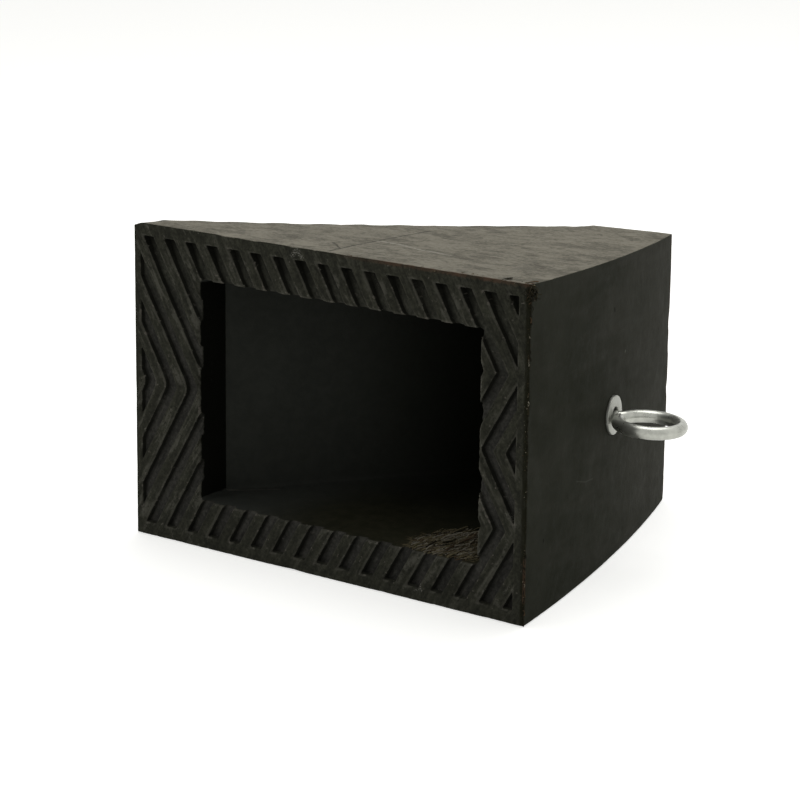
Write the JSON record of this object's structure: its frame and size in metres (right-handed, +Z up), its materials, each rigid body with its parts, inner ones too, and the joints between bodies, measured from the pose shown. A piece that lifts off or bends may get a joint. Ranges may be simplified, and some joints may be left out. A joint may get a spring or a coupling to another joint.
{
  "type": "rubber wheel stop",
  "caption": "Moulded rubber wheel chock with a hollow chevron tread face, a ridged wheel face and a bent wire eye bolt through the heel, lying on its side.",
  "frame": {"origin": "a point of the drafted long side that the stop lies on, half way along the tread face and 100 mm above it", "axes": "+X from the toe to the heel along the tread face, +Y from the tread face towards the crest, +Z up across the width, away from the side that it lies on"},
  "size_m": [0.3253, 0.2509, 0.1997],
  "materials": {
    "rubber": "matt, worn, moulded",
    "zinc_wire": "zinc plated, satin",
    "zinc_washer": "zinc plated, dull",
    "zinc_nut": "zinc plated, satin"
  },
  "bodies": {
    "root": {"rubber_body": "rubber", "eye_bolt": "zinc_wire", "outer_washer": "zinc_washer", "inner_washer": "zinc_washer", "nut": "zinc_nut"}
  },
  "joints": []
}
